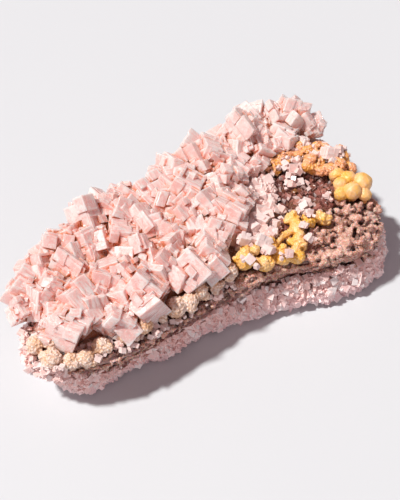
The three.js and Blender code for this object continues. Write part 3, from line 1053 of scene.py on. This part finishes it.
def spike(rng, x, y, z, edge, away):
    """A long crystal that narrows to its tip, roughly along a direction"""
    aim = Vector(away) + Vector(draws(rng, -0.8, 0.8))
    turn = aim.to_track_quat("Z", "Y").to_matrix() @ turned(rng.uniform(0, 90), 0, 0)
    half = np.array([0.34, 0.3, 0.85]) * edge
    return Block((x, y, z), half, skewed(rng, turn), rng.random(), 0.0, -rng.uniform(0.35, 0.7))


def pale_crumbs():
    """The upper part of the druse on the slab's side"""
    return united("pale_crumbs", pale_teeth(random.Random(61), HIGH_TEETH, 0.5, 1))


def pale_growth():
    """The lower part of the druse, down to the floor, on a bed that is dished underneath"""
    rng = random.Random(51)
    blocks = crystal(rng, *REST_CRYSTAL[:4], turned(*REST_CRYSTAL[4:]), 3)
    for x, y, z, edge, *angles in fringe():
        turn = turned(*angles)
        blocks += crystal(rng, x, y, z, edge * 0.55, turn, 2, 1, 0.0)
        for _ in range(8):
            away = Vector(any_way(rng)).normalized()
            spot = Vector((x, y, z)) + away * edge * 0.36
            blocks += chip(rng, spot, rng.uniform(1.8, 3.8), corner_turn(rng, away), 0, 0.9, 1.4)
    blocks += pale_teeth(rng, LOW_TEETH, 0, 0.54)
    for _ in range(SOLE_CRYSTALS):
        x = rng.uniform(-105, 105)
        y = rng.uniform(-45, 42)
        if is_inside(SLAB_EDGE, x * 1.15, y * 1.2):
            blocks += crystal(rng, x, y, 4.5, rng.uniform(3.5, 7), any_turn(rng), 0, 1, 0)
    around = np.arange(160) / 160
    rings = [(edge_points(around, 22) * 0.5, UNDER_BED[0][1])]
    rings += [(edge_points(around, inset + 0.5 + undercut(around, z)), z) for inset, z in UNDER_BED]
    rings.append((edge_points(around, UNDER_DISH[0]), UNDER_DISH[1]))
    rings.append((edge_points(around, 12) * 0.5, 9.2))
    return united("pale_growth", blocks, [ring_mesh("dish", rings)], cut_at_floor=True)


# Materials

class Shader:
    """A material's node tree, built a node at a time"""

    def __init__(self, name):
        self.material = bpy.data.materials.new(name)
        self.material.use_nodes = True
        self.tree = self.material.node_tree
        self.surface = self.tree.nodes["Principled BSDF"]

    def fill(self, socket, value):
        """Links a socket to an output, or sets it to a number, a vector or a colour"""
        if isinstance(value, bpy.types.NodeSocket):
            self.tree.links.new(value, socket)
        elif socket.type == "RGBA":
            socket.default_value = (*value, 1)
        else:
            socket.default_value = value

    def set(self, **values):
        """Fills sockets of the surface, by their names with underscores for spaces"""
        for key, value in values.items():
            self.fill(self.surface.inputs[key.replace("_", " ")], value)

    def node(self, kind, values, **settings):
        made = self.tree.nodes.new(kind)
        for key, value in settings.items():
            setattr(made, key, value)
        for key, value in values.items():
            self.fill(made.inputs[key], value)
        return made

    def place(self):
        """Position in the frame, which stays with the object"""
        return self.node("ShaderNodeTexCoord", {}).outputs["Object"]

    def carried(self, name, kind="Vector"):
        """What the mesh carries under a name: a vector, or a number as Fac"""
        return self.node("ShaderNodeAttribute", {}, attribute_name=name).outputs[kind]

    def split(self, vector):
        """The parts of a vector, by X, Y and Z"""
        return self.node("ShaderNodeSeparateXYZ", {0: vector}).outputs

    def joined(self, *parts):
        return self.node("ShaderNodeCombineXYZ", dict(enumerate(parts))).outputs["Vector"]

    def vector(self, operation, a, b, kind="Vector"):
        return self.node("ShaderNodeVectorMath", {0: a, 1: b}, operation=operation).outputs[kind]

    def math(self, operation, first, *others):
        """One number from several: the operation on the first two, then on each other in turn"""
        for value in others:
            first = self.node("ShaderNodeMath", {0: first, 1: value}, operation=operation).outputs[0]
        return first

    def noise(self, size, detail=3.0, roughness=0.55, vector=None):
        """Noise with features of a size in millimetres"""
        values = {
            "Vector": vector or self.place(), "Scale": 1 / (size * MM),
            "Detail": detail, "Roughness": roughness,
        }
        return self.node("ShaderNodeTexNoise", values).outputs["Fac"]

    def range(self, value, low, high, to_low, to_high):
        """A value between low and high, as a number between two others"""
        values = {"Value": value, "From Min": low, "From Max": high, "To Min": to_low, "To Max": to_high}
        return self.node("ShaderNodeMapRange", values).outputs["Result"]

    def ramp(self, factor, *stops):
        """Colours at positions along a factor"""
        made = self.node("ShaderNodeValToRGB", {"Fac": factor})
        elements = made.color_ramp.elements
        while len(elements) < len(stops):
            elements.new(0.5)
        for element, (position, colour) in zip(elements, stops):
            element.position = position
            element.color = (*colour, 1)
        return made.outputs["Color"]

    def mix(self, factor, a, b):
        values = {"Factor": factor, MIX_A: a, MIX_B: b}
        return self.node("ShaderNodeMix", values, data_type="RGBA").outputs[MIX_RESULT]

    def layers(self, colour, *coats):
        """Lays colours over one: for each a value, its range, the shares at its ends, and the colour"""
        for value, low, high, to_low, to_high, over in coats:
            colour = self.mix(self.range(value, low, high, to_low, to_high), colour, over)
        return colour

    def hollow(self, reach):
        """Ambient occlusion: 0 far in a gap, 1 out in the open. Colours laid by it are painted shade"""
        return self.node("ShaderNodeAmbientOcclusion", {"Distance": reach * MM}, samples=8).outputs["AO"]

    def finished(self, colour, height, depth, ior=HALITE_IOR, **values):
        """The material with a colour, fine relief of a depth in millimetres and other settings"""
        relief = self.node("ShaderNodeBump", {"Height": height, "Distance": depth * MM})
        self.set(Base_Color=colour, IOR=ior, Normal=relief.outputs["Normal"], **values)
        return self.material


def growth_marks(s, size):
    """For each block: 1 at its faces' edges falling to 0 in their middle, ribs across one of its axes,
    square cells in step with all three, and its tint"""
    from_middle = s.vector("SUBTRACT", s.place(), s.carried("middle"))
    axes = [s.carried("axis_a"), s.carried("axis_b")]
    axes.append(s.vector("CROSS_PRODUCT", *axes))
    halves = s.split(s.carried("half_size"))
    shares = []
    local = []
    for axis, half in zip(axes, halves):
        along = s.vector("DOT_PRODUCT", from_middle, axis, "Value")
        shares.append(s.math("DIVIDE", s.math("ABSOLUTE", along, 0), half))
        local.append(s.math("DIVIDE", along, MM))
    most = s.math("MAXIMUM", *shares)
    # Share at the faces' edges, which the materials use to paint a highlight along them
    painted_edge_light = s.math("SUBTRACT", s.math("ADD", *shares), most, s.math("MINIMUM", *shares))
    tint = s.carried("tint", "Fac")
    shift = s.math("MULTIPLY", tint, 50)
    fine = s.math("ADD", local[0], s.math("MULTIPLY", s.noise(3, 2), 1.6))
    long_y = s.math("MULTIPLY", local[1], 0.13)
    long_z = s.math("ADD", s.math("MULTIPLY", local[2], 0.13), shift)
    values = {"Vector": s.joined(fine, long_y, long_z), "Scale": 1 / size, "Detail": 3}
    ribs = s.node("ShaderNodeTexNoise", values).outputs["Fac"]
    values = {"Vector": s.joined(s.math("ADD", local[0], shift), *local[1:]), "Scale": 0.3 / size}
    cells = s.node("ShaderNodeTexVoronoi", values, distance="CHEBYCHEV")
    return painted_edge_light, ribs, s.split(cells.outputs["Color"])["X"], tint


def pink_halite():
    """Cloudy pink halite: milky ribs over salmon, paler to the right, with a painted highlight on its edges
    and painted shade, orange to dark brown, in the gaps
    """
    s = Shader("pink_halite")
    painted_edge_light, ribs, cell, _ = growth_marks(s, 1.2)
    open_air = s.hollow(10)
    clouds = s.noise(4.5, 4, 0.65)
    # Painted shade: the colour follows openness, from dark brown and orange in gaps to pink in the open,
    # broken up by clouds and cells
    depth = s.math("ADD", open_air, s.range(clouds, 0.3, 0.7, -0.1, 0.1), s.range(cell, 0, 1, -0.1, 0.05))
    colour = s.ramp(
        depth, (0.08, (0.42, 0.12, 0.03)), (0.2, (0.86, 0.28, 0.08)), (0.34, (0.96, 0.4, 0.28)),
        (0.48, (0.965, 0.48, 0.425)), (0.72, (0.97, 0.585, 0.55)),
    )
    # White specks, partly frosting and partly painted glints
    frost_and_glint = s.range(s.noise(0.9, 4, 0.7), 0.55, 0.61, 0, 0.8)
    milky = s.math("MULTIPLY", s.range(ribs, 0.46, 0.56, 0, 1), s.range(clouds, 0.4, 0.52, 0.25, 1))
    milky = s.math("MAXIMUM", milky, s.range(cell, 0.72, 0.8, 0, 0.5), frost_and_glint)
    # Painted shade: the milky ribs fade in the gaps
    milky = s.math("MULTIPLY", milky, s.range(open_air, 0.15, 0.6, 0.2, 1))
    to_right = s.range(s.split(s.place())["X"], -50 * MM, 90 * MM, 0, 0.5)
    # Paler to the right, but only out in the open, so the gaps keep their painted shade
    paler = s.math("MULTIPLY", to_right, s.range(open_air, 0.2, 0.6, 0, 1))
    colour = s.mix(paler, colour, (1, 0.74, 0.7))
    colour = s.mix(milky, colour, (1, 0.825, 0.8))
    # Painted highlight: pale along the crystals' edges
    colour = s.layers(colour, (painted_edge_light, 0.88, 1, 0, 0.5, (1, 0.89, 0.88)))
    return s.finished(
        colour, s.math("ADD", ribs, s.noise(1.8, 4, 0.65), s.math("MULTIPLY", cell, 0.8)), 0.6,
        Roughness=s.range(s.noise(3, 4), 0.35, 0.65, 0.05, 0.22), Transmission_Weight=0.06,
        Subsurface_Weight=0.8, Subsurface_Scale=4 * MM, Subsurface_Radius=(1, 0.75, 0.7),
    )


def mauve_halite():
    """Dark red-brown crystals, with a few pale ones among them"""
    s = Shader("mauve_halite")
    painted_edge_light, ribs, cell, tint = growth_marks(s, 0.9)
    patches = s.noise(11, 3)
    colour = s.ramp(
        patches, (0.36, (0.15, 0.04, 0.03)), (0.5, (0.24, 0.075, 0.06)), (0.64, (0.28, 0.11, 0.035)),
    )
    colour = s.layers(
        colour,
        # Painted highlight: paler along the crystals' edges
        (painted_edge_light, 0.75, 1, 0, 0.3, (0.75, 0.48, 0.42)),
        (tint, 0.5, 0.6, 0, 0.7, (0.56, 0.22, 0.18)),
        (tint, 0.89, 0.92, 0, 0.85, (1, 0.83, 0.8)),
        # Painted shade: near black in the gaps
        (s.hollow(4), 0.12, 0.7, 0.95, 0, (0.07, 0.02, 0.012)),
    )
    relief = s.math("ADD", ribs, cell, s.noise(1.6, 3))
    roughness = s.range(ribs, 0.3, 0.7, 0.05, 0.16)
    return s.finished(colour, relief, 0.6, Roughness=roughness, Transmission_Weight=0.15)


def clear_halite():
    """Small cubes, milky and faintly pink, with paler edges that are a painted highlight"""
    s = Shader("clear_halite")
    painted_edge_light, ribs, cell, tint = growth_marks(s, 0.9)
    colour = s.mix(s.range(tint, 0.1, 0.9, 0, 1), (1, 0.64, 0.58), (1, 0.8, 0.765))
    colour = s.layers(
        colour,
        (ribs, 0.45, 0.6, 0, 0.6, (1, 0.86, 0.83)),
        # Painted highlight: paler along the edges
        (painted_edge_light, 0.78, 1, 0, 0.6, (1, 0.93, 0.91)),
    )
    relief = s.math("ADD", ribs, cell)
    roughness = s.range(ribs, 0.3, 0.7, 0.05, 0.2)
    return s.finished(colour, relief, 0.3, Roughness=roughness, Transmission_Weight=0.1)


def pale_halite():
    """Pale pink crystals of the druse underneath, cooler near the floor"""
    s = Shader("pale_halite")
    painted_edge_light, ribs, _, tint = growth_marks(s, 0.9)
    warm = s.range(s.split(s.place())["Z"], 2 * MM, 14 * MM, 0, 1)
    colour = s.layers(
        s.mix(warm, (1, 0.72, 0.74), (1, 0.66, 0.61)),
        (tint, 0.3, 1, 0, 0.5, (0.97, 0.82, 0.8)),
        # Painted highlight: paler along the crystals' edges
        (painted_edge_light, 0.7, 1, 0, 0.6, (1, 0.9, 0.89)),
        # Painted glints: a few crystals nearly white
        (tint, 0.84, 0.88, 0, 0.8, (1, 0.95, 0.94)),
        # Painted shade: darker and redder in the gaps
        (s.hollow(4), 0.06, 0.36, 0.6, 0, (0.7, 0.31, 0.25)),
    )
    relief = s.math("ADD", ribs, s.noise(1.2, 2))
    return s.finished(colour, relief, 0.25, Roughness=0.16, Transmission_Weight=0.05)


def yellow_salt(name, outer, inner, painted_shade_colour, grainy):
    """Sugary salt: pale grains, a stronger colour in patches and between the grains, where it takes a little
    painted shade; painted shade darkens the gaps
    """
    s = Shader(name)
    open_air = s.hollow(6)
    # Painted shade: the patches lean to the outer colour out in the open and to the inner one in gaps
    patches = s.math("ADD", s.noise(9, 3), s.range(open_air, 0.2, 0.9, 0.08, -0.08))
    grains = s.carried("grain", "Fac")
    sugar = s.noise(0.7, 3, 0.7)
    frosted = s.range(s.noise(6, 2), 0.42, 0.58, 0.5, 1.5)
    colour = s.ramp(patches, (0.4, outer), (0.56, inner))
    colour = s.layers(colour, (grains, 0.4, 0.75, 0, grainy, s.mix(0.2, inner, painted_shade_colour)))
    tips = s.math("MAXIMUM", s.range(grains, 0.15, 0.4, 1, 0), s.range(sugar, 0.52, 0.62, 0, 0.8))
    tips = s.math("MULTIPLY", tips, frosted, 1.2 * grainy)
    colour = s.mix(tips, colour, (1, 0.86, 0.77))
    # Painted shade: towards the shade colour in gaps and creases
    colour = s.layers(colour, (open_air, 0.14, 0.62, 1, 0, painted_shade_colour))
    return s.finished(
        colour, s.math("SUBTRACT", sugar, grains), 0.7 * grainy,
        Roughness=s.range(sugar, 0.3, 0.7, 0.4, 0.15),
        Subsurface_Weight=0.3, Subsurface_Scale=0.5 * MM, Subsurface_Radius=(1, 0.8, 0.6),
    )


def salt_crust():
    """Bedded crust: mauve-grey layers with a pale lip, dark cracks and a brown top"""
    s = Shader("salt_crust")
    swell = s.range(s.noise(22, 3), 0.3, 0.7, -1.5, 1.5)
    height = s.math("ADD", s.math("DIVIDE", s.split(s.place())["Z"], MM), swell)
    colour = s.ramp(
        s.range(height, CRUST_BASE, CRUST_TOP + 1, 0, 1),
        (0.1, (0.78, 0.44, 0.38)), (0.36, (0.62, 0.31, 0.26)), (0.46, (0.45, 0.21, 0.17)),
        (0.66, (0.49, 0.27, 0.24)), (0.78, (0.57, 0.34, 0.3)), (0.86, (0.84, 0.59, 0.52)),
        (0.95, (0.56, 0.27, 0.17)),
    )
    flat = s.vector("MULTIPLY", s.place(), (0.15, 0.15, 1.5))
    for size, dark in ((1.0, 0.8), (2.2, 0.6)):
        seams = s.noise(size, 3, 0.6, flat)
        colour = s.layers(colour, (seams, 0.54, 0.64, 0, dark, (0.22, 0.08, 0.07)))
    grain = s.noise(1.1, 4, 0.7)
    colour = s.layers(
        colour,
        (grain, 0.49, 0.6, 0, 0.75, (0.95, 0.68, 0.62)),
        # Painted shade: near black in gaps and under overhangs
        (s.hollow(3.5), 0.08, 0.42, 0.95, 0, (0.09, 0.03, 0.022)),
    )
    return s.finished(
        colour, s.math("SUBTRACT", grain, seams), 1.5, CRUST_IOR,
        Roughness=s.range(grain, 0.3, 0.7, 0.55, 0.8), Subsurface_Weight=0.3, Subsurface_Scale=1.5 * MM,
    )


def granule_crust():
    """Porous crust of the right end: pinkish granules with pale tips, and dark pits that are painted shade"""
    s = Shader("granule_crust")
    grain = s.noise(0.8, 3, 0.7)
    colour = s.layers(
        s.ramp(s.noise(9, 3), (0.38, (0.58, 0.25, 0.16)), (0.6, (0.86, 0.5, 0.39))),
        (s.carried("grain", "Fac"), 0.15, 0.45, 0.6, 0, (0.95, 0.7, 0.62)),
        (grain, 0.36, 0.46, 0.6, 0, (0.3, 0.09, 0.055)),
        (grain, 0.52, 0.62, 0, 0.8, (1, 0.85, 0.8)),
        # Painted shade: near black in pits and gaps
        (s.hollow(4.5), 0.28, 0.84, 1, 0, (0.06, 0.018, 0.012)),
    )
    return s.finished(
        colour, grain, 0.8, CRUST_IOR,
        Roughness=0.5, Subsurface_Weight=0.4, Subsurface_Scale=1.5 * MM,
    )


def table_top():
    s = Shader("table_top")
    colour = s.mix(s.noise(260, 2), (0.63, 0.665, 0.7), (0.65, 0.685, 0.715))
    s.set(Base_Color=colour, Roughness=0.6)
    return s.material


# The room

def floor():
    """A plain pale floor, which isn't part of the object"""
    corners = [(x * FLOOR_HALF, y * FLOOR_HALF, -FLOOR_DROP) for x, y in ((-1, -1), (1, -1), (1, 1), (-1, 1))]
    obj = add_object("floor", build_mesh("floor", corners, [(0, 1, 2, 3)], (0, 0, 0)))
    obj.data.materials.append(table_top())


def camera():
    """The photograph's view of the cluster"""
    azimuth, elevation = math.radians(VIEW_AZIMUTH), math.radians(VIEW_ELEVATION)
    back = Vector((
        math.sin(azimuth) * math.cos(elevation),
        -math.cos(azimuth) * math.cos(elevation),
        math.sin(elevation),
    ))
    aim = (Vector(VIEW_AIM) + Vector(PLAN_SHIFT)) * MM
    lens = bpy.data.cameras.new("camera")
    lens.lens = VIEW_LENS
    lens.sensor_width = VIEW_SENSOR
    lens.clip_start = 0.01
    obj = add_object("camera", lens)
    obj.location = aim + back * VIEW_DISTANCE * MM
    obj.rotation_euler = back.to_track_quat("Z", "Y").to_euler()
    bpy.context.scene.camera = obj


def lights():
    """A window's sun with soft edges, a wide weak fill and a dim warm room"""
    for name, (strength, width, colour, falls) in LIGHTS.items():
        sun = bpy.data.lights.new(name, "SUN")
        sun.energy = strength
        sun.angle = math.radians(width)
        sun.color = colour
        obj = add_object(name, sun)
        obj.rotation_euler = (-Vector(falls)).to_track_quat("Z", "Y").to_euler()
    world = bpy.data.worlds.new("studio")
    world.use_nodes = True
    background = world.node_tree.nodes["Background"]
    background.inputs["Color"].default_value = ROOM_COLOUR
    background.inputs["Strength"].default_value = ROOM_STRENGTH
    bpy.context.scene.world = world
    bpy.context.scene.view_settings.view_transform = "Standard"


def build_cluster():
    """Every piece of the cluster, with its finish and the node that it stands for"""
    yellow = {name: yellow_salt(name, *tones) for name, tones in YELLOW_SALTS.items()}
    cream = yellow["cream_salt"]
    granules, clear, pale = granule_crust(), clear_halite(), pale_halite()
    pieces = [
        (crust(), salt_crust(), "salt_crust", "layered_crust"),
        (popcorn(), granules, "salt_crust"),
        (rim_crumbs(), granules, "salt_crust"),
        (pink_growth(), pink_halite(), "pink_halite", "pink_crystals"),
        (cream_lumps("cream_lumps_left", LUMPS_LEFT, 3), cream, "yellow_salt", "yellow_lumps_left"),
        (cream_lumps("cream_lumps_front", LUMPS_FRONT, 4), cream, "yellow_salt", "yellow_lumps_front"),
        (ridge_lumps(), yellow["golden_salt"], "yellow_salt", "yellow_lumps_middle"),
        (back_lumps(), yellow["orange_salt"], "yellow_salt", "yellow_lumps_back"),
        (smooth_balls(), yellow["smooth_salt"], "yellow_salt"),
        (mauve_growth(), mauve_halite(), "mauve_halite", "mauve_druse"),
        (clear_cubes(), clear, "mauve_halite"),
        (pink_crumbs(), clear, "pink_halite"),
        (pale_growth(), pale, "pale_halite", "underside_druse"),
        (pale_crumbs(), pale, "pale_halite"),
    ]
    for piece in pieces:
        finish_piece(*piece)


camera()
lights()
floor()
build_cluster()
